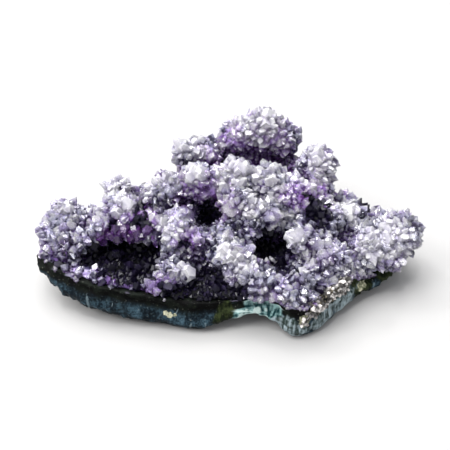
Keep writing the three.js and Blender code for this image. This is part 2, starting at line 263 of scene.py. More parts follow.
# %% The agate shell with small even faces
SHELL_STEP = 0.7 * MM
agate = copy_of("agate_rind", "agate_shell")
add_modifier(agate, "REMESH", mode="VOXEL", voxel_size=SHELL_STEP)
add_modifier(agate, "SMOOTH", factor=0.5, iterations=3)
report(agate)

# %% [markdown]
# Only the sides and the underside of the shell are broken rock. Its upper face carries the druse, and at
# the floor it stays flat. A Displace modifier spares what its vertex group leaves out, so the group is made
# first.


# %% Reading the vertices of a piece
def places(piece):
    """The places of a piece's vertices, one row each."""
    flat = np.empty(3 * len(piece.data.vertices))
    piece.data.vertices.foreach_get("co", flat)
    return flat.reshape(-1, 3)


def normals(piece):
    flat = np.empty(3 * len(piece.data.vertices))
    piece.data.vertex_normals.foreach_get("vector", flat)
    return flat.reshape(-1, 3)


def smoothstep(values, low, high):
    share = np.clip((values - low) / (high - low), 0, 1)
    return share * share * (3 - 2 * share)


# %% Where the shell is broken
FACES_UP = (-0.7, -0.3)
FLAT_BELOW = 2.5 * MM
WEIGHTS = (0.25, 0.5, 0.75, 1)

facing_down = -normals(agate)[:, 2]
broken = smoothstep(facing_down, *FACES_UP) * smoothstep(places(agate)[:, 2], 0, FLAT_BELOW)
group = agate.vertex_groups.new(name="broken")
for weight in WEIGHTS:
    group.add(np.flatnonzero(broken > weight - WEIGHTS[0] / 2).tolist(), weight, "REPLACE")
print(round(100 * (broken > 0.5).mean()), "percent of the shell is broken rock")


# %% Steps and chips
def roughen(piece, kind, grain, depth):
    """Pushes a piece's broken faces in and out by a pattern. Its grain and depth are in metres."""
    texture = bpy.data.textures.new(kind.lower(), kind)
    texture.noise_scale = grain
    settings = {"texture": texture, "strength": depth, "mid_level": 0.5, "texture_coords": "LOCAL"}
    add_modifier(piece, "DISPLACE", vertex_group="broken", **settings)


roughen(agate, "VORONOI", grain=5 * MM, depth=1.5 * MM)
roughen(agate, "CLOUDS", grain=2.0 * MM, depth=1.4 * MM)
select_only(agate)
bpy.ops.object.shade_smooth()
report(agate)

# %% [markdown]
# The bands of the agate follow its edge, which rises and falls, so a finish can't go by height alone. For
# each vertex, the height is measured as a share of the edge's height in its own direction, and is written
# on the vertex for the material.

# %% The edge of the shell in every direction
DIRECTIONS = 90
NEAR_DIRECTIONS = 1.2
EDGE_WIDTH = 4.5 * MM
LONGER_THAN_DEEP = 1.6


def edge_heights(points):
    """The direction of each point, and the shell's lower and upper edge in each direction."""
    turn = np.arctan2(points[:, 1] * LONGER_THAN_DEEP, points[:, 0]) / math.tau * DIRECTIONS
    reach = np.hypot(points[:, 0], points[:, 1])
    lower, upper = np.zeros(DIRECTIONS), np.zeros(DIRECTIONS)
    for direction in range(DIRECTIONS):
        apart = np.abs((turn - direction + DIRECTIONS / 2) % DIRECTIONS - DIRECTIONS / 2)
        near = apart < NEAR_DIRECTIONS
        at_edge = near & (reach > reach[near].max() - EDGE_WIDTH)
        lower[direction], upper[direction] = points[at_edge, 2].min(), points[at_edge, 2].max()
    return turn, lower, upper


def around(values, turn):
    """Reads a list of values, one for each direction, at any direction between them."""
    values = (np.roll(values, 1) + 2 * values + np.roll(values, -1)) / 4
    return np.interp(turn % DIRECTIONS, np.arange(DIRECTIONS + 1), np.append(values, values[0]))


# %% Where the bands of the agate run
UNDERSIDE = (0.45, 0.8)


def note(piece, name, values, domain="POINT"):
    """Writes one number for each vertex, which materials and modifiers can read by its name."""
    attribute = piece.data.attributes.new(name, "FLOAT", domain)
    attribute.data.foreach_set("value", values.astype(np.float32))


agate_places = places(agate)
turn, lower, upper = edge_heights(agate_places)
low_edge, high_edge = around(lower, turn), around(upper, turn)
agate_band = (agate_places[:, 2] - low_edge) / (high_edge - low_edge)
note(agate, "band", agate_band)
note(agate, "under", smoothstep(-normals(agate)[:, 2], *UNDERSIDE))
print("the agate's edge is", round((upper - lower).mean() / MM, 1), "mm high on average")

# %% [markdown]
# Some places of the edge look like no other: a teal arch, a pale foot, chips of cream, and a seam of
# granular quartz. A painted image could hold them, but it has seams and a size in pixels. Here each is made
# of spots, whose border a noise makes uneven.

# %% How strongly each place lies in a spot
BORDER_GRAIN = 5 * MM
BORDER_RAGGED = 0.7
FULL_WITHIN = 0.5
GONE_BEYOND = 1.25


def spot_strength(points, spots):
    """1 well inside one of the spots, and 0 outside them all. Each is x, y, z and its radius in mm."""
    strength = np.zeros(len(points))
    ragged = 1 + BORDER_RAGGED * np.array([noise.noise(Vector(point) / BORDER_GRAIN) for point in points])
    for *middle, radius in [spot for group in spots.values() for spot in group]:
        distance = np.linalg.norm(points - np.array(middle) * MM, axis=1) * ragged
        inside = 1 - smoothstep(distance, FULL_WITHIN * radius * MM, GONE_BEYOND * radius * MM)
        strength = np.maximum(strength, inside)
    return strength


def note_spots(piece, name, spots):
    strength = spot_strength(places(piece), spots)
    note(piece, name, strength)
    print(round(100 * (strength > 0.5).mean(), 1), "percent of", piece.name, "is noted as", name)


# %% Spots on the agate
AGATE_SPOTS = {
    "teal": {"the arch": [(3.5, -37, 6, 3.5), (9, -36, 9, 5), (14.5, -37, 7.5, 4)]},
    "olive": {
        "beside the arch": [(-2, -37, 6, 5.5)],
        "behind the foot": [(47, -24, 8, 7)],
        "under the wing": [(56, -18, 9, 6)],
    },
    "frost": {
        "beside the arch": [(2.2, -37.2, 4.6, 1.0), (3.8, -37, 6.2, 1.1), (5.6, -36.8, 8.2, 1.0)],
        "the arch": [(9, -36, 7.6, 1.3), (12.5, -36.5, 8.4, 1.1)],
    },
    "pale": {"foot": [(20, -40, 3.5, 6.5)], "right face": [(31, -36, 6, 6), (38, -29, 6, 6.5)]},
    "cream": {
        "small chip": [(-24, -36, 9, 1.0)],
        "long chip": [(-21.6, -36.6, 7.0, 1.3), (-20.1, -36.9, 6.5, 1.6), (-18.5, -37, 6.2, 1.3)],
        "rear chip": [(45.5, -23.7, 6.2, 1.3), (48, -22.8, 7.0, 1.0)],
        "chunk over the foot": [(24.2, -39.5, 7.4, 3.0), (26.2, -38.2, 9, 1.8)],
    },
    "granular": {
        "chunk over the foot": [(24.2, -39.5, 7.4, 2.6), (26.2, -38.2, 9, 2.0)],
        "over the foot": [(28, -38, 9.6, 2.8), (29, -36.5, 10.5, 3.6)],
        "right face": [(33, -33, 12, 3.6), (37, -29, 13, 3.6), (40.5, -25, 14, 3.4)],
    },
}
for name, spots in AGATE_SPOTS.items():
    note_spots(agate, name, spots)

# %% [markdown]
# The druse is massive quartz, and the crystals that grew out of it. Both could be one sculpted skin, but a
# skin rounds off flat faces and sharp edges. So the CAD solid is made a smooth bed, drawn in by the length
# of a small crystal, and real crystals are grown on it.

# %% The bed of massive quartz
BED_STEP = 0.9 * MM
bed = copy_of("amethyst_druse", "quartz_bed")
add_modifier(bed, "REMESH", mode="VOXEL", voxel_size=BED_STEP)
add_modifier(bed, "SMOOTH", factor=0.5, iterations=4)
report(bed)

# %% Where the bed sits on the agate
SEAT_DISTANCE = 1.2 * MM
SEAT_FACING = 0.85


def search_tree(piece):
    """Finds the nearest place on a piece, or where a ray meets it."""
    faces = [tuple(face.vertices) for face in piece.data.polygons]
    return BVHTree.FromPolygons(places(piece).tolist(), faces)


agate_tree = search_tree(agate)
on_seat = np.zeros(len(bed.data.vertices), bool)
for i, (place, normal) in enumerate(zip(places(bed), normals(bed))):
    nearest, _, _, distance = agate_tree.find_nearest(Vector(place))
    facing = (nearest - Vector(place)).dot(normal) > SEAT_FACING * distance
    on_seat[i] = normal[2] < 0 and distance < SEAT_DISTANCE and facing
print(round(100 * on_seat.mean()), "percent of the bed sits on the agate")

# %% Drawing in the rest of the bed
BED_DEPTH = 0.9 * MM
free = bed.vertex_groups.new(name="free")
free.add(np.flatnonzero(~on_seat).tolist(), 1, "REPLACE")
add_modifier(bed, "DISPLACE", strength=-BED_DEPTH, mid_level=0, vertex_group="free")
add_modifier(bed, "SMOOTH", factor=0.5, iterations=2)
select_only(bed)
bpy.ops.object.shade_smooth()
report(bed)

# %% [markdown]
# Crystals grow as large as the room around them lets them: large on the tops of the lumps, small in the
# caves. So the bed first measures how open each of its places is, by the share of rays from it that get
# away. The finishes read it too, and paint the open tops lighter and the caves darker, as light and shade.

# %% How open each place of the bed is
RAYS = 24
RAY_LENGTH = 16 * MM
RAY_SPREAD = 0.98
START_ABOVE = 0.3 * MM


def openness(piece):
    """For each vertex, the share of rays that meet nothing nearby."""
    tree = search_tree(piece)
    spread = np.random.default_rng(5).normal(size=(RAYS, 3))
    spread /= np.linalg.norm(spread, axis=1, keepdims=True)
    share = np.zeros(len(piece.data.vertices))
    for i, (place, normal) in enumerate(zip(places(piece), normals(piece))):
        start = Vector(place + normal * START_ABOVE)
        for ray in normal + RAY_SPREAD * spread:
            share[i] += tree.ray_cast(start, Vector(ray), RAY_LENGTH)[0] is None
    return share / RAYS


bed_places = places(bed)
bed_open = openness(bed)
note(bed, "open", bed_open)
print(round(100 * bed_open.mean()), "percent of the rays get away")

# %% [markdown]
# No two places of a druse have quite the same colour. Here the crests and lobes are milky, and paler still
# as painted highlight of their lit tops, the wall under the peak is deep violet, and the caves are darkened
# as painted shade. These are spots too.

# %% Milky places
# Milky quartz, and partly painted highlight: most of these spots lie on the lit tops of the lumps.
MILKY_AND_LIT_SPOTS = {
    "in the caves": [(-39.5, -17, 14.5, 2.4), (15, -17, 12, 2.4)],
    "leaf": [(-3, -7, 28, 2.8)],
    "hump": [(-23, 1, 36, 6), (-28, 2, 33, 5)],
    "rear lobe": [(-15, 23, 38, 9)],
    "left end's top": [(-61, 0, 26, 4.5)],
    "left knob": [(-43, 9, 27, 10)],
    "left crown": [(-39, -5, 29, 5), (-47, -4, 26, 4)],
    "pale pair": [(-22, -14, 25, 6)],
    "brightest crystal": [(-15, -28, 19, 4)],
    "right of the recess": [(0, -23, 24, 5)],
    "front lobe": [(3, -28, 19, 6)],
    "middle lobe": [(10, -3, 29, 8), (18, -6, 25, 5)],
    "right lobe": [(21, -19, 24, 7), (26, -23, 20.5, 4.5), (31.5, -22, 22.5, 5)],
    "crest": [(-12, 4, 39.5, 5), (0, 5, 37.5, 8), (11, 7, 36.5, 8)],
    "peak's top": [(12, 30, 46, 11)],
    "shoulder": [(33, 8, 37, 8), (30, 4, 34, 5)],
    "before the wing": [(45, 6, 20, 6)],
    "ridge": [(43, -3, 25, 6)],
    "wing": [(56, -13, 20, 10), (48, -18, 19, 8)],
}
note_spots(bed, "milky", MILKY_AND_LIT_SPOTS)

# %% Violet places
VIOLET_SPOTS = {
    "left column": [(-24, -31, 16.5, 2.8), (-14, -19, 24, 5)],
    "roof of the main cave": [(-31, -12, 25, 10)],
    "around the middle cave": [(-9, -2, 33, 9), (-2, -5, 27, 5)],
    "right of the middle lobe": [(24, -5, 32, 6)],
    "under the shoulder": [(33, 2, 31, 6)],
    "rear wall": [(-7, 21, 29, 7), (2, 25, 33, 9), (11, 28, 28, 9), (16, 27, 31, 10)],
    "peak's face": [(15, 25, 40, 8)],
    "back": [(18, 38, 24, 10), (-20, 30, 20, 9), (-47, 16, 20, 8), (40, 20, 22, 8)],
}
note_spots(bed, "violet", VIOLET_SPOTS)

# %% Places of painted shade
# Along the front, between the left column and the front lobe, the quartz is painted nearly black, as
# shade of the low strip and the recess, and only the finest crystals grow on it.
FRONT_SHADE_SPOTS = {
    "left column's foot": [(-19.9, -34.2, 14.2, 1.8)],
    "front strip, left": [(-16.6, -34.8, 12.9, 2.4), (-11.6, -34.4, 12.8, 2.4)],
    "front strip, right": [(-6.6, -34.8, 12.9, 2.4), (-1.7, -35.4, 12.1, 2.0)],
    "recess": [(-15, -32.6, 13.2, 2.0), (-11, -31.6, 13.6, 2.6), (-7.2, -32.2, 13.4, 2.4)],
}
# Painted shade: the caves, the hollows, the recess and the places under the lobes are darkened, and two
# spots at the back darken slopes that the large lamp lights strongly.
PAINTED_SHADE_SPOTS = {
    "before the main cave": [(-37, -22, 13.5, 8.5), (-31, -26.5, 13.5, 7.5)],
    "main cave": [(-31, -12, 12, 15), (-46, -16, 13, 8)],
    "middle cave": [(-7, 0, 18, 7)],
    "right cave": [(14, -12, 12, 10), (19.5, -25, 17, 4.5)],
    "right hollow": [(30, -9, 28, 5.5)],
    "pit in the middle lobe": [(6.5, 0.1, 31.5, 1.6)],
    "recess": [(-8, -29, 13, 9)],
    "under the front lobe": [(1, -35, 13, 5)],
    "left column's foot": [(-18, -34.5, 13.5, 3)],
    "back": [(-6, 34, 20, 6), (52, 11, 15, 5)],
}
# Fainter painted shade, on fronts that face away from the lamps and between the lumps.
FAINT_PAINTED_SHADE_SPOTS = {
    "left end's front": [(-57, -19, 16, 7)],
    "main cave's rim": [(-42, -30, 15, 7)],
    "right front": [(27, -28, 18, 8)],
    "under the front lobe": [(3, -33, 17, 6)],
    "before the wing": [(36, -14, 22, 7)],
    "before the hump": [(-26, -6, 29, 6)],
    "between the caves": [(2, -13, 25, 5)],
}
FAINT = 0.28
FRONT_SHADE_WEIGHT = 1.2

bed_front_shade = spot_strength(bed_places, FRONT_SHADE_SPOTS)
shade_strength = spot_strength(bed_places, PAINTED_SHADE_SPOTS)
faint_shade_strength = FAINT * spot_strength(bed_places, FAINT_PAINTED_SHADE_SPOTS)
note(bed, "front_shade", bed_front_shade)
note(bed, "smoky", np.maximum.reduce([shade_strength, faint_shade_strength, FRONT_SHADE_WEIGHT * bed_front_shade]))
print(round(100 * (shade_strength > 0.5).mean()), "percent of the bed is smoky")

# %% [markdown]
# A quartz crystal is a six-sided prism with six faces at its end, which slope by 51.8 degrees when it
# stands upright. Where all six are alike they meet in a point, but mostly some are larger. A cone can't
# show that, so a prism is cut by one plane after the other, as a lapidary would. The unit here is the
# crystal's own width.

# %% Crystal forms
SIDES = 6
FACE_SLOPE = math.radians(51.8)
PRISM_RADIUS = 1 / math.sqrt(3)
PRISM_LENGTH = 2
PRISM_MIDDLE = (0, 0, 0.5)
CRYSTAL_FORMS = {
    "even_point": [0.8, 0.82, 0.8, 0.84, 0.8, 0.82],
    "three_faced_point": [0.8, 1.1, 0.82, 1.05, 0.78, 1.12],
    "leaning_point": [0.65, 0.8, 1.02, 1.1, 0.96, 0.76],
    "chisel_point": [0.75, 1.0, 0.98, 0.72, 1.02, 1.0],
    "one_sided_point": [0.6, 0.94, 0.9, 1.1, 0.88, 1.0],
}


def cut_crystal(name, face_heights):
    """A prism cut by six sloping planes, each of which meets the axis at its own height."""
    size = {"radius": PRISM_RADIUS, "depth": PRISM_LENGTH}
    bpy.ops.mesh.primitive_cylinder_add(vertices=SIDES, location=PRISM_MIDDLE, **size)
    crystal = bpy.context.object
    crystal.name = name
    bpy.ops.object.transform_apply(location=True)
    bpy.ops.object.mode_set(mode="EDIT")
    for side, height in enumerate(face_heights):
        turn = math.radians(30 + 60 * side)
        outward = Vector((math.cos(turn), math.sin(turn), 0)) * math.sin(FACE_SLOPE)
        facing = outward + Vector((0, 0, math.cos(FACE_SLOPE)))
        bpy.ops.mesh.select_all(action="SELECT")
        bpy.ops.mesh.bisect(plane_co=(0, 0, height), plane_no=facing, use_fill=True, clear_outer=True)
    bpy.ops.object.mode_set(mode="OBJECT")
    heights = places(crystal)[:, 2]
    note(crystal, "along", smoothstep(heights, 0, heights.max()))
    return crystal


# %% A shelf for the forms
def put_on_shelf(name, forms):
    """Moves forms into a collection, from which a Geometry Nodes group can take them."""
    shelf = bpy.data.collections.new(name)
    scene.collection.children.link(shelf)
    for form in forms:
        for collection in form.users_collection:
            collection.objects.unlink(form)
        shelf.objects.link(form)
        report(form)
    return shelf


form_shelf = put_on_shelf("crystal_forms", [cut_crystal(*form) for form in CRYSTAL_FORMS.items()])

# %% [markdown]
# Thousands of the finest crystals fill the gaps between the others, and show no more than their points.
# The same prisms would work there, with four times the faces. A cone with six sides is enough.

# %% The form of the finest crystals
FINE_HEIGHT = 0.89
FINE_TIP = 0.6
fine_radius = FINE_HEIGHT / math.tan(FACE_SLOPE) * 2 * PRISM_RADIUS
fine_middle = (0, 0, FINE_TIP - FINE_HEIGHT / 2)
fine_cone = {"vertices": SIDES, "radius1": fine_radius, "depth": FINE_HEIGHT, "location": fine_middle}
bpy.ops.mesh.primitive_cone_add(**fine_cone)
fine_point = bpy.context.object
fine_point.name = "fine_point"
bpy.ops.object.transform_apply(location=True)
note(fine_point, "along", smoothstep(places(fine_point)[:, 2], 0, FINE_TIP))
fine_shelf = put_on_shelf("fine_forms", [fine_point])

# %% [markdown]
# A few crystals stand out by their size, and the eye finds them again in the photo. Scattering would never
# put them in their places, so they are listed, and the small ones leave room for them.

# %% Where single large crystals stand
# Each one: its name, where its tip ends, the direction in which it points, and its width, in mm.
LARGE_CRYSTALS = [
    ("brow", (-25.7, -12.5, 23.5), (-0.3, -0.6, 0.7), 6),
    ("pale_pair_left", (-18.7, -13, 29.5), (-0.5, -0.6, 0.7), 6.5),
    ("pale_pair_right", (-14.2, -11.5, 30.5), (0.4, -0.5, 0.8), 6),
    ("brightest", (-14.7, -28.8, 19.5), (0, -0.7, 0.75), 5.5),
    ("leaf", (-2.2, -8, 29.5), (-0.6, -0.5, 0.6), 6),
    ("lobe_tip", (18.3, -10, 27.5), (0.75, -0.5, 0.3), 7),
    ("right_lobe", (21.8, -18.5, 27.5), (-0.35, -0.3, 0.9), 6),
    ("right_lobe_side", (29.3, -22.5, 19), (0.3, -0.8, 0.5), 5),
    ("wing", (55.3, -12, 21.5), (-0.1, -0.5, 0.85), 6),
    ("wing_top", (62.3, -7, 26), (0.15, 0, 1), 5.5),
    ("rear_lobe", (-6.2, 20.5, 32.5), (0.2, -0.8, 0.5), 6),
    ("rear_lobe_left", (-19.2, 22.5, 38.5), (-0.3, -0.2, 0.9), 5.5),
    ("crest_left", (-12.7, 1.5, 40.5), (-0.2, -0.3, 0.9), 6.5),
    ("crest_middle", (3.3, 4.5, 40), (0.1, -0.2, 1), 5.5),
    ("peak_top", (14.8, 30, 47.5), (0.1, -0.1, 1), 6),
    ("shoulder", (32.3, 11.5, 41.5), (0.1, -0.3, 0.95), 6),
    ("ridge", (43.8, -2, 25.5), (0.2, -0.1, 1), 6.5),
    ("left_end", (-58.7, -11, 24), (0, -0.4, 0.9), 5.5),
    ("left_crown", (-36.7, -4, 31), (0.1, -0.2, 1), 5.5),
    ("front_lobe", (-2.7, -24.5, 25), (-0.1, -0.5, 0.85), 5.5),
    ("front_low", (10.3, -35, 19.5), (0.1, -0.6, 0.8), 5),
    ("under_the_roof", (-39.5, -19, 16.5), (0, -0.4, -1), 2.6),
    ("beside_the_right_cave", (15, -18, 14.5), (0.2, -0.3, 1), 2.6),
]
LARGE_ROOM = 0.6
claimed_spots = {name: [(*tip, LARGE_ROOM * width)] for name, tip, _, width in LARGE_CRYSTALS}
claimed = spot_strength(bed_places, claimed_spots)
note(bed, "uncovered", (~on_seat).astype(float))
note(bed, "room", (1 - claimed) * (1 - bed_front_shade) * ~on_seat)
print(round(100 * (claimed > 0.5).mean(), 1), "percent of the bed is kept for them")

# %% [markdown]
# Thousands of small crystals are too many to place by hand. A Geometry Nodes group strews points on the
# bed that keep a distance, and puts a crystal on each one: its axis near the bed's normal, a random turn
# and size, and larger where the bed is open. At the end the instances are made real faces.


# %% Numbers for each crystal: what the ground notes, and chance
def noted_on_ground(start, name):
    return start.node("GeometryNodeInputNamedAttribute", {"Name": name})


def chance_number(start, low, high, seed):
    """A number by chance. This node too has like-named sockets, for each kind of number."""
    return start.node("FunctionNodeRandomValue", {2: low, 3: high, "Seed": seed}, 1, data_type="FLOAT")


def chance_vector(start, reach, seed):
    inputs = {0: (-reach,) * 3, 1: (reach,) * 3, "Seed": seed}
    return start.node("FunctionNodeRandomValue", inputs, 0, data_type="FLOAT_VECTOR")


# %% Where each crystal stands and how it points
PACKING = 1.6


def strew(start, spacing, wanted, seed):
    """Points on the ground that keep a distance, and its normal at each of them."""
    density = {"Density Max": PACKING / spacing**2, "Density Factor": wanted}
    inputs = {"Mesh": start.node("NodeGroupInput"), "Distance Min": spacing, "Seed": seed, **density}
    points = start.node("GeometryNodeDistributePointsOnFaces", inputs, distribute_method="POISSON")
    return points, Wire(points.tree, points.socket.node.outputs["Normal"])


def stand(start, outward, lean, seed):
    """Turns each crystal: its axis near the ground's normal, and a turn by chance about that axis."""
    leaning = {0: outward, 1: chance_vector(start, lean, seed + 1)}
    axis = start.node("ShaderNodeVectorMath", leaning, operation="ADD")
    upright = start.node("FunctionNodeAlignRotationToVector", {"Vector": axis}, axis="Z")
    turn = start.node("ShaderNodeCombineXYZ", {"Z": chance_number(start, 0, math.tau, seed + 2)})
    turned = {"Rotation": upright, "Rotate By": turn}
    return start.node("FunctionNodeRotateRotation", turned, rotation_space="LOCAL")


# %% How large each crystal is
OPEN_GROUND = (0.3, 1.0)
SHARE_BY_CHANCE = 0.6
LENGTHS = (0.85, 1.4)


def sized(start, widths, seed):
    """Scales each crystal between two widths, by chance and by how open the ground is."""
    by_ground = noted_on_ground(start, "open").between(*OPEN_GROUND)
    share = chance_number(start, 0, 1, seed + 3) * SHARE_BY_CHANCE + by_ground * (1 - SHARE_BY_CHANCE)
    width = share * (widths[1] - widths[0]) + widths[0]
    length = width * chance_number(start, *LENGTHS, seed + 4)
    return start.node("ShaderNodeCombineXYZ", {"X": width, "Y": width, "Z": length})


# %% Growing crystals on a ground
def growth_nodes(name, where, spacing, widths, lean, seed, shelf):
    """The group that puts forms on its ground, and gives each a tone of its own."""
    tree = bpy.data.node_groups.new(name, "GeometryNodeTree")
    for end, way in (("Ground", "INPUT"), ("Crystals", "OUTPUT")):
        tree.interface.new_socket(end, in_out=way, socket_type="NodeSocketGeometry")
    start = Wire(tree)
    points, outward = strew(start, spacing, where(start), seed)
    taken = {"Collection": shelf, "Separate Children": True, "Reset Children": True}
    picked = {4: 0, 5: len(shelf.objects) - 1, "Seed": seed + 5}
    instances = {
        "Points": points,
        "Instance": start.node("GeometryNodeCollectionInfo", taken),
        "Pick Instance": True,
        "Instance Index": start.node("FunctionNodeRandomValue", picked, 2, data_type="INT"),
        "Rotation": stand(start, outward, lean, seed),
        "Scale": sized(start, widths, seed),
    }
    placed = start.node("GeometryNodeInstanceOnPoints", instances)
    tones = {"Geometry": placed, "Name": "tone", "Value": chance_number(start, 0, 1, seed + 6)}
    toned = start.node("GeometryNodeStoreNamedAttribute", tones, data_type="FLOAT", domain="INSTANCE")
    real = start.node("GeometryNodeRealizeInstances", {"Geometry": toned})
    start.node("NodeGroupOutput", {"Crystals": real})
    return tree


def note_facets(piece, seed):
    """Writes a random number from 0 to 1 for each face, which the finishes paint as a reflection per facet.
    """
    note(piece, "painted_facet_reflection", np.random.default_rng(seed).random(len(piece.data.polygons)), "FACE")


def grow(name, ground, where, spacing, widths, lean, seed, shelf=form_shelf):
    """Crystals on a ground. The spacing and the two widths are in mm."""
    widths = tuple(width * MM for width in widths)
    tree = growth_nodes(name, where, spacing * MM, widths, lean, seed, shelf)
    crystals = duplicate(ground, name)
    crystals.data.materials.clear()
    add_modifier(crystals, "NODES", node_group=tree)
    note_facets(crystals, seed)
    report(crystals)
    return crystals


# %% [markdown]
# One spread of sizes would look like gravel. On a druse each size has its places: the finest crystals stand
# everywhere, and the larger they are, the more open and milky is the ground that they want.


# %% Where each size of crystal grows
def noted_as(name):
    """Wants crystals where the ground has this number, the more the higher it is."""
    return lambda start: noted_on_ground(start, name)


def on_open_ground(start):
    return noted_on_ground(start, "open").between(0.35, 0.7) * noted_on_ground(start, "room")


def on_the_crests(start):
    open_ground = noted_on_ground(start, "open").between(0.6, 0.9) * noted_on_ground(start, "room")
    return open_ground * (noted_on_ground(start, "milky") * 0.6 + 0.25)


# Each size: its name, its ground, where it grows, its spacing, widths, lean and seed.
druse = [
    grow("fine_crystals", bed, noted_as("uncovered"), 0.95, (0.8, 1.5), 0.4, 7, fine_shelf),
    grow("small_crystals", bed, noted_as("room"), 1.7, (1.3, 3.0), 0.4, 11),
    grow("middling_crystals", bed, on_open_ground, 3.2, (2.1, 3.5), 0.4, 23),
    grow("coarse_crystals", bed, on_the_crests, 5.6, (3.0, 4.4), 0.35, 37),
]

# %% [markdown]
# Each large crystal is a copy of one of the forms, with its tip at its place and its colour from the bed
# nearby. In nature it rarely stands alone, so a few smaller ones lean away from its foot.

# %% Setting one crystal
BED_NOTES = ("open", "milky", "violet", "smoky")
TONES = (0.4, 0.9)
chance = np.random.default_rng(71)


def looks_at(tip):
    """What the bed notes at the place that is nearest to a tip."""
    nearest = int(np.linalg.norm(bed_places - np.array(tip) * MM, axis=1).argmin())
    return {name: bed.data.attributes[name].data[nearest].value for name in BED_NOTES}


def set_crystal(name, tip, direction, width, form, looks):
    """A copy of a form at one place, with what its material reads. The tip and the width are in mm."""
    crystal = duplicate(form, name)
    form_shelf.objects.unlink(crystal)
    scene.collection.objects.link(crystal)
    select_only(crystal)
    point = Vector(max(places(crystal), key=lambda place: place[2]))
    bpy.ops.object.mode_set(mode="EDIT")
    bpy.ops.mesh.select_all(action="SELECT")
    bpy.ops.transform.translate(value=-point)
    bpy.ops.transform.resize(value=(width * MM,) * 3, center_override=(0, 0, 0))
    bpy.ops.object.mode_set(mode="OBJECT")
    crystal.rotation_euler = Vector(direction).to_track_quat("Z", "Y").to_euler()
    crystal.location = Vector(tip) * MM
    bpy.ops.object.transform_apply(location=True, rotation=True)
    for number, value in {**looks, "tone": chance.uniform(*TONES)}.items():
        note(crystal, number, np.full(len(crystal.data.vertices), value))
    return crystal


# %% Single large crystals and their companions
LARGE_SHARE = 0.95
STANDS_OUT = 0.8
COMPANIONS = 4
COMPANION_ASIDE = 0.55
COMPANION_BELOW = (0.1, 0.3)
COMPANION_SHARES = (0.35, 0.7)
COMPANION_LEAN = 0.35

large = []
forms = list(form_shelf.objects)
for i, (name, tip, direction, width) in enumerate(LARGE_CRYSTALS):
    direction = np.array(direction)
    tip = np.array(tip) + STANDS_OUT * direction
    form = forms[i % len(forms)]
    large.append(set_crystal(name, tip, direction, LARGE_SHARE * width, form, looks_at(tip)))
    for beside in range(COMPANIONS):
        aside = chance.normal(size=3)
        aside -= direction * (aside @ direction) / np.dot(direction, direction)
        aside /= np.linalg.norm(aside)
        place = tip + width * (COMPANION_ASIDE * aside - chance.uniform(*COMPANION_BELOW) * direction)
        tilted = direction + COMPANION_LEAN * aside
        size = width * chance.uniform(*COMPANION_SHARES)
        form = forms[(i + beside) % len(forms)]
        large.append(set_crystal(name, place, tilted, size, form, looks_at(place)))
print(len(large), "large crystals and companions are set")

# %% [markdown]
# Violet crystals hang in rows from the roof of the main cave. The scattered ones can't reach down so far,
# so these are set one by one as well, along three lines, each a little out of line.

# %% Crystals that hang in the main cave
# Each row: where it starts and ends in mm, how its crystals point, their widths, and how many there are.
HANGING_ROWS = [
    ((-47.5, -13.8, 18.6), (-23.5, -15.6, 19.0), (0, -0.3, -1), (3.0, 4.2), 11),
    ((-45.5, -14.0, 21.8), (-25.0, -16.0, 22.4), (0, -0.9, -0.6), (2.6, 3.6), 9),
    ((-47.0, -14.2, 20.4), (-24.0, -16.2, 20.8), (0, -0.8, -0.8), (1.6, 2.6), 24),
]
OUT_OF_LINE = 0.6
TILTED_BY = 0.3
# The hanging crystals are painted a little darker, as shade in the cave.
HANGING_SHADE = 0.2

for start_place, end_place, direction, widths, count in HANGING_ROWS:
    for i, share in enumerate(np.linspace(0, 1, count)):
        tip = np.array(start_place) * (1 - share) + np.array(end_place) * share
        tip = tip + chance.normal(size=3) * OUT_OF_LINE
        tilted = np.array(direction) + chance.normal(size=3) * TILTED_BY
        looks = {"open": chance.uniform(0.3, 0.8), "violet": chance.uniform(0, 1)}
        looks.update(milky=0, smoky=HANGING_SHADE)
        width = chance.uniform(*widths)
        large.append(set_crystal("hanging", tip, tilted, width, forms[i % len(forms)], looks))
print(sum(row[-1] for row in HANGING_ROWS), "crystals hang in the main cave")

# %% One piece of all large crystals
bpy.ops.object.select_all(action="DESELECT")
for crystal in large:
    crystal.select_set(True)
bpy.context.view_layer.objects.active = large[0]
bpy.ops.object.join()
large_crystals = bpy.context.object
large_crystals.name = "large_crystals"
note_facets(large_crystals, 3)
report(large_crystals)
druse.append(large_crystals)

# %% [markdown]
# Where the druse ends, a fringe of fine crystals runs out over the lip of the agate. The agate is their
# ground, and notes where they may grow: on top, close to the bed, under open sky, and not where the photo
# shows bare rock.

# %% Fine crystals on the agate's lip
LIP_WIDTH = 6 * MM
LIP_FACES_UP = 0.35
LIP_FROM = 0.85
UP = Vector((0, 0, 1))
BARE_LIP_SPOTS = {
    "left front": [(-43, -31, 13, 13)],
    "left end": [(-60, -19, 13, 8)],
    "before the main cave": [(-29, -33, 13, 8)],
    "left of the arch": [(-12, -36, 12, 12)],
    "over the seam": [(34, -33, 13, 9)],
}
LIP_LOOKS = {"open": 0.8, "milky": 0.35, "violet": 0.4, "smoky": 0}

bed_tree = search_tree(bed)
lip = np.zeros(len(agate_places))
for i in np.flatnonzero((normals(agate)[:, 2] > LIP_FACES_UP) & (agate_band > LIP_FROM)):
    place = Vector(agate_places[i])
    near = bed_tree.find_nearest(place)[3] < LIP_WIDTH
    lip[i] = near and bed_tree.ray_cast(place, UP)[0] is None
note(agate, "lip", lip * (1 - spot_strength(agate_places, BARE_LIP_SPOTS)))
for name, value in LIP_LOOKS.items():
    note(agate, name, np.full(len(agate_places), value))
druse.append(grow("lip_crystals", agate, noted_as("lip"), 0.8, (0.8, 1.6), 0.5, 53))

# %% [markdown]
# At the right the edge is broken through a seam of granular quartz, like lumps of sugar. A bump in the
# material would leave its outline smooth. Small crystals that lean every way give it real grains.

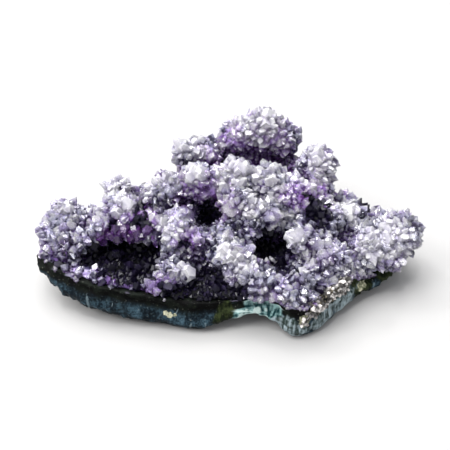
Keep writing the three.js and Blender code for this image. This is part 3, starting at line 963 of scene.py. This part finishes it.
# %% Grains of quartz on the agate's right side
grains = grow("granular_quartz", agate, noted_as("granular"), 0.75, (0.7, 1.3), 0.9, 31)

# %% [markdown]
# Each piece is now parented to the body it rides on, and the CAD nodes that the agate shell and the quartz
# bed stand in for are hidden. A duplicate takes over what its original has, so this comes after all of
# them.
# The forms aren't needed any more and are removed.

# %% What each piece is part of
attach(grains, "root")
for crystals in druse:
    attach(crystals, "root")

for shelf in (form_shelf, fine_shelf):
    for form in list(shelf.objects):
        bpy.data.objects.remove(form)
    bpy.data.collections.remove(shelf)

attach(agate, "root")
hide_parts("agate_rind")
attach(bed, "root")
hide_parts("amethyst_druse")
print("the cluster has", 3 + len(druse), "pieces")

# %% [markdown]
# The colour of the quartz goes by place: near white on the crests, lavender on the slopes, and deep violet
# in the hollows. The white of the open crests is partly painted light, and the dark of the hollows is
# painted shade. It could be painted on the vertices. A sum of what the bed noted, with some noise, does
# the same at any size of mesh.


# %% What the materials read
def noted(start, name):
    """A number that was written on the piece's mesh."""
    return start.node("ShaderNodeAttribute", attribute_name=name, output="Fac")


def grain(start, per_metre, detail, stretch=(1, 1, 1), distortion=0.0):
    """A noise with so many grains to the metre. Along an axis whose stretch is small they are long."""
    place = start.node("ShaderNodeTexCoord", output="Object")
    place = start.node("ShaderNodeMapping", {"Vector": place, "Scale": stretch})
    inputs = {"Vector": place, "Scale": per_metre, "Detail": detail, "Distortion": distortion}
    return start.node("ShaderNodeTexNoise", inputs, output="Fac")


# %% The tint of the quartz
# Each pair holds the tint where the quartz is least violet, and where it is most violet.
# The hollow tints are painted shade and the crest tints painted highlight. The painted lightness below
# chooses between them.
SHADED_HOLLOW_TINTS = (0.045, 0.040, 0.090), (0.135, 0.045, 0.220)
SLOPE_TINTS = (0.61, 0.61, 0.77), (0.46, 0.29, 0.69)
LIT_CREST_TINTS = (0.98, 0.98, 0.97), (0.95, 0.91, 0.97)
MILKY_TINT = (0.67, 0.64, 0.71)
PALER_PATCHES = 150
REDDER_PATCHES = 110


def tint(start, light, tone):
    """Paler where the quartz is open, as painted light, and where milky; dark where shade is painted."""
    milky, violet, smoky = (noted(start, name) for name in ("milky", "violet", "smoky"))
    paler = grain(start, PALER_PATCHES, 2) - 0.55
    redder = grain(start, REDDER_PATCHES, 1) - 0.5
    open_place = noted(start, "open").between(0.15, 0.9)
    # Painted light and shade: open places are lighter and places of painted shade darker. Milky places are
    # lighter partly by their own colour and partly as painted highlight.
    light = light + open_place * 0.55 + milky * 0.3 - smoky * 0.65 + violet * 0.18 + paler * 0.9
    hue = (violet * 0.9 + tone * 0.45 + redder + 0.12 - smoky * 0.1).between(0, 1)
    slope = (milky * 0.4).mix(hue.mix(*SLOPE_TINTS), MILKY_TINT)
    shade = light.between(0, 0.45).mix(hue.mix(*SHADED_HOLLOW_TINTS), slope)
    return light.between(0.4, 0.95).mix(shade, hue.mix(*LIT_CREST_TINTS))


# %% [markdown]
# Clear quartz lets light through and bends it. As clear as glass, the crystals would vanish before each
# other, so a quarter of the light is scattered at their skin. A fine noise stands for the veils in them, a
# slight bump for the steps in which their faces grew, and each facet gets a painted reflection of its own.
# Each crystal is also painted darker at its root, as shade between the crystals, and lighter at its tip, as
# a painted highlight.

# %% The finish of clear amethyst
QUARTZ_IOR = 1.54
VEILS = 700
GROWTH_STEPS = 1400


def crystal_notes(start):
    """The tone of a crystal, how far up its length a place is, and the painted reflection of its facet."""
    return [noted(start, name) for name in ("tone", "along", "painted_facet_reflection")]


clear_amethyst, start = new_material("clear_amethyst")
tone, along, painted_facet_reflection = crystal_notes(start)
veils = grain(start, VEILS, 3)
# Painted light: the root is darker as shade and the tip lighter as highlight, and each facet has its own
# painted reflection. The tone and the veils are the crystal's own.
tone_and_painted_light = (tone - 0.55) * 0.55 + (along - 0.53) * 0.9 + (painted_facet_reflection - 0.45) * 0.45 + (veils - 0.5) * 0.8
steps = {"Height": grain(start, GROWTH_STEPS, 2), "Strength": 0.35, "Distance": 0.2 * MM}
finish_with(clear_amethyst, {
    "Base Color": tint(start, tone_and_painted_light, tone),
    "Normal": start.node("ShaderNodeBump", steps),
    "Roughness": 0.07,
    "IOR": QUARTZ_IOR,
    "Transmission Weight": 0.75,
})

# %% [markdown]
# Milky quartz is full of tiny bubbles. They scatter the light inside it, so less goes straight through and
# it looks white. It needs a finish of its own, because how much a shader transmits is one plain number.

# %% The finish of milky quartz
milky_quartz, start = new_material("milky_quartz")
tone, along, painted_facet_reflection = crystal_notes(start)
# As in the clear quartz, the root is painted darker as shade, and the tip and the facets lighter as painted
# highlight and reflection.
cloud_and_painted_light = (tone * 0.4 + along * 0.6 + painted_facet_reflection * 0.45 + grain(start, VEILS, 3) * 0.8 - 0.7).between(0, 1)
finish_with(milky_quartz, {
    "Base Color": cloud_and_painted_light.mix((0.47, 0.44, 0.55), (0.97, 0.96, 0.96)),
    "Roughness": 0.08,
    "IOR": QUARTZ_IOR,
    "Transmission Weight": 0.55,
})

# %% [markdown]
# In the caves, hollows and recesses the crystals get a finish of their own, nearly black, which is painted
# shade. With a full gloss they would mirror the large lamp and look grey, so their mirror is weak, and only
# their tips and some facets get a little painted gleam.

# %% The finish of quartz in painted shade
WEAK_MIRROR = 0.05

shaded_quartz, start = new_material("shaded_quartz")
tone, along, painted_facet_reflection = crystal_notes(start)
# Painted highlight: the tips and some facets gleam a little lighter.
painted_gleam = (tone * 0.6 + along * 0.5 + painted_facet_reflection * 0.5 - 0.75).between(0, 0.8)
finish_with(shaded_quartz, {
    "Base Color": painted_gleam.mix((0.003, 0.002, 0.008), (0.026, 0.019, 0.050)),
    "Roughness": 0.25,
    "IOR": QUARTZ_IOR,
    "Specular IOR Level": WEAK_MIRROR,
    "Transmission Weight": 0.3,
})

# %% [markdown]
# The massive quartz shows only in the gaps between the crystals. It has their tint, but darker, as painted
# shade in the gaps, and without gloss, and it turns nearly black as painted shade in the caves and along
# the low front.

# %% The finish of massive quartz
CLOUDS = 400

massive_quartz, start = new_material("massive_quartz")
cloudy = grain(start, CLOUDS, 3)
# Painted shade: the bed is darker than the crystals, as the shade in the gaps between them.
quartz = tint(start, cloudy * 0.4 - 0.45, cloudy)
# Painted shade: nearly black in the caves, the hollows and the low front strip.
painted_shade_black = cloudy.mix((0.002, 0.002, 0.002), (0.012, 0.012, 0.013))
painted_shade_mask = (noted(start, "front_shade") + noted(start, "smoky") * 0.6 + (cloudy - 0.5) * 0.8).between(0.2, 0.6)
finish_with(massive_quartz, {
    "Base Color": painted_shade_mask.mix(quartz, painted_shade_black),
    "Roughness": 0.7,
    "IOR": QUARTZ_IOR,
    "Specular IOR Level": WEAK_MIRROR,
})
bed.data.materials.append(massive_quartz)

# %% [markdown]
# Each crystal is of one kind, so each of its faces gets one of the three finishes, by its place and tone.
# The number of the material is stored on the face, as the Assign button would do.

# %% Which crystals are milky and which are in painted shade
CRYSTAL_KINDS = [clear_amethyst, milky_quartz, shaded_quartz]
CLEAR, MILKY, SHADED = range(3)
MILKY_FROM = 0.82
SHADED_FROM = 0.7


def numbers(piece, name):
    """Reads back one number for each vertex."""
    values = np.empty(len(piece.data.vertices), np.float32)
    piece.data.attributes[name].data.foreach_get("value", values)
    return values


for crystals in druse:
    crystals.data.materials.clear()
    for kind in CRYSTAL_KINDS:
        crystals.data.materials.append(kind)
    first = np.array([face.vertices[0] for face in crystals.data.polygons])
    tones = numbers(crystals, "tone")[first] * 0.5
    milky = numbers(crystals, "milky")[first] * 0.65 + tones > MILKY_FROM
    # Faces where shade is painted take the nearly black finish.
    smoky = numbers(crystals, "smoky")[first] + tones > SHADED_FROM
    kinds = np.where(milky, MILKY, np.where(smoky, SHADED, CLEAR))
    crystals.data.polygons.foreach_set("material_index", kinds.astype(np.int32))
    print(crystals.name, "is milky on", round(100 * milky.mean()), "percent of its faces")

# %% [markdown]
# Agate grew in thin layers, and fibres stand across them. Both are noises: the fibres are long along Z, and
# the layers are read at a place whose height is the band's number, so that they follow the edge. A striped
# texture would be easier, but is too even for a stone.

# %% The grains of the agate
LAYERS_ALONG = 70
LAYERS_ACROSS = 5

banded_agate, start = new_material("banded_agate")
fibres = grain(start, 900, 3, (1, 1, 0.16), 0.3)
scratches = grain(start, 420, 2, (1, 1, 0.05), 0.2)
mottles = grain(start, 260, 5)
clouds = grain(start, 110, 4)
grit = grain(start, 1500, 3)

here = start.node("ShaderNodeTexCoord", output="Object")
x, y = (start.node("ShaderNodeSeparateXYZ", {"Vector": here}, output=axis) for axis in "XY")
across = noted(start, "band") * LAYERS_ACROSS
layered = start.node("ShaderNodeCombineXYZ", {"X": x * LAYERS_ALONG, "Y": y * LAYERS_ALONG, "Z": across})
layering = {"Vector": layered, "Scale": 1, "Detail": 5, "Distortion": 0.7}
layers = start.node("ShaderNodeTexNoise", layering, output="Fac")
print("the grains and layers take", len(start.tree.nodes), "nodes")

# %% [markdown]
# Under the crystals the agate is green-black. A blue-grey band of chalcedony runs along its lower half, a
# thin pale line ends it below, and here and there a scratch shows lighter. Each is mixed over the last.

# %% The bands
# The green-black and the blue-grey are the stone's own, but all the agate's colours are kept darker than
# the stone, as painted shade of its front, which faces away from the light.
band = noted(start, "band") + (mottles - 0.5) * 0.35
black = mottles.between(0.42, 0.62).mix((0.001, 0.001, 0.001), (0.005, 0.007, 0.005))
black = grit.between(0.64, 0.72).mix(black, (0.04, 0.05, 0.045))
fine_grain = (fibres - 0.5) * 0.3 + (layers - 0.5) * 0.4 + (grit - 0.5) * 0.4
chalcedony = (mottles * 0.5 + clouds * 0.5 + fine_grain).between(0.38, 0.74)
blue = chalcedony.mix((0.002, 0.005, 0.008), (0.052, 0.096, 0.126))
colour = band.between(0.48, 0.70).mix(blue, black)

lower_line = (noted(start, "band") + (grit - 0.5) * 0.16).between(0.09, 0.02)
colour = (lower_line * 0.7).mix(colour, (0.14, 0.14, 0.11))
scratched = scratches.between(0.66, 0.70) * band.between(0.75, 0.55)
colour = (scratched * 0.5).mix(colour, (0.15, 0.20, 0.22))


# %% The olive, teal and pale patches
def patch(name, border):
    """Where a spot lies, with an uneven border: its strength plus a noise, cut at one level."""
    return (noted(start, name) + (border - 0.5) * 2.2).between(0.3, 0.8)


olive = (fibres * 0.6 + mottles * 0.4).between(0.42, 0.62).mix((0.003, 0.006, 0.002), (0.026, 0.034, 0.012))
colour = patch("olive", mottles * 0.5 + layers * 0.5).mix(colour, olive)

teal = (layers * 0.6 + fibres * 0.4).between(0.42, 0.58).mix((0.006, 0.030, 0.034), (0.25, 0.41, 0.40))
colour = patch("teal", clouds * 0.5 + layers * 0.5).mix(colour, teal)
colour = (noted(start, "teal") * layers.between(0.55, 0.60)).mix(colour, (0.60, 0.74, 0.70))

frost = noted(start, "frost") * (1 + (layers - 0.5) * 2.4 + (fibres - 0.5) * 1.6)
colour = frost.between(0.25, 0.7).mix(colour, fibres.mix((0.24, 0.34, 0.32), (0.62, 0.74, 0.70)))

streaks = (fibres * 0.45 + mottles * 0.25 + layers * 0.3 - (band - 0.4) * 0.12).between(0.42, 0.58)
pale = streaks.mix((0.020, 0.032, 0.028), (0.27, 0.33, 0.35))
colour = patch("pale", mottles * 0.5 + clouds * 0.5).mix(colour, pale)

# %% [markdown]
# Where the stone is chipped its grains show: brown in the seam, and cream in the chips. Each cell of a
# Voronoi texture has one colour, which makes the chips look broken and not painted. The lip, which the
# druse mostly hides, is a plain grey. The underside, which faces down into the shadow, is a plain dark
# grey, partly its own colour and partly painted shade.

# %% The seam, the chips, the lip and the underside
CHIP_CELLS = 900

under_the_seam = grit.between(0.35, 0.65).mix((0.02, 0.017, 0.012), (0.15, 0.13, 0.10))
colour = patch("granular", grit).mix(colour, under_the_seam)

cells = start.node("ShaderNodeTexVoronoi", {"Vector": here, "Scale": CHIP_CELLS}, output="Color")
cell = start.node("ShaderNodeSeparateColor", {"Color": cells}, output="Red")
cream = (grit * 0.7 + cell * 0.3).between(0.3, 0.7).mix((0.08, 0.09, 0.05), (0.46, 0.45, 0.32))
chips = noted(start, "cream") + (layers - 0.5) * 1.4 + (grit - 0.5) * 0.8
colour = chips.between(0.35, 0.6).mix(colour, cream)

lip_grey = mottles.mix((0.06, 0.055, 0.09), (0.26, 0.24, 0.33))
colour = noted(start, "lip").between(0.2, 0.8).mix(colour, lip_grey)
# The underside faces down: its dark grey is partly its own colour and partly painted shade.
under = noted(start, "under")
colour = (under * 0.85).mix(colour, grit.mix((0.012, 0.015, 0.011), (0.045, 0.048, 0.035)))

# %% The finish of the agate
relief = {"Height": grit * 0.5 + fibres * 0.5, "Strength": 0.8, "Distance": 0.35 * MM}
finish_with(banded_agate, {
    "Base Color": colour,
    "Roughness": grit * 0.3 + under * 0.3 + band.between(0.45, 0.6) * 0.3 + 0.3,
    "IOR": QUARTZ_IOR,
    "Specular IOR Level": 0.06,
    "Normal": start.node("ShaderNodeBump", relief),
})
agate.data.materials.append(banded_agate)

# %% [markdown]
# The grains of the seam are white, pinkish or as dark as the rock between them. Each has a tone of its
# own from growing, so one mix of two colours is enough.

# %% The finish of the granular quartz
granular_quartz, start = new_material("granular_quartz")
grain_tone = noted(start, "tone").between(0.25, 0.85)
finish_with(granular_quartz, {
    "Base Color": grain_tone.mix((0.035, 0.031, 0.028), (0.70, 0.66, 0.63)),
    "Roughness": 0.3,
    "IOR": QUARTZ_IOR,
})
grains.data.materials.clear()
grains.data.materials.append(granular_quartz)
